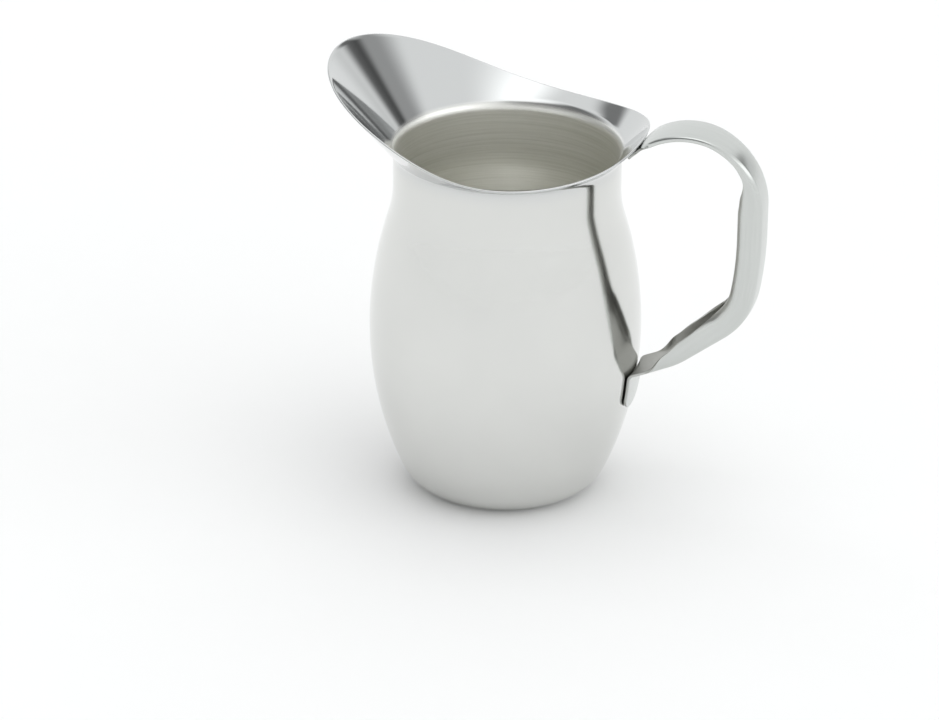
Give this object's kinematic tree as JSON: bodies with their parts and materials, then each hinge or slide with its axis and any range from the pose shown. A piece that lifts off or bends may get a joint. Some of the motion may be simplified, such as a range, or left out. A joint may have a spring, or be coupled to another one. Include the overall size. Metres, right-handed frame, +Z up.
{
  "type": "water pitcher",
  "caption": "Stainless steel water pitcher with a bellied body, narrow neck, flared pouring spout and a folded strip handle.",
  "frame": {"origin": "centre of the flat base, on the body's turning axis", "axes": "+Z up along the body's axis, -X towards the spout, +X towards the handle, Y across the plane of symmetry"},
  "size_m": [0.2211, 0.1384, 0.222],
  "materials": {
    "polished_steel": "polished outside, satin inside",
    "satin_steel": "fine satin",
    "weld_steel": "as welded"
  },
  "bodies": {
    "root": {"body_shell": "polished_steel", "handle": "satin_steel", "upper_spot_welds": "weld_steel", "lower_spot_welds": "weld_steel"}
  },
  "joints": []
}
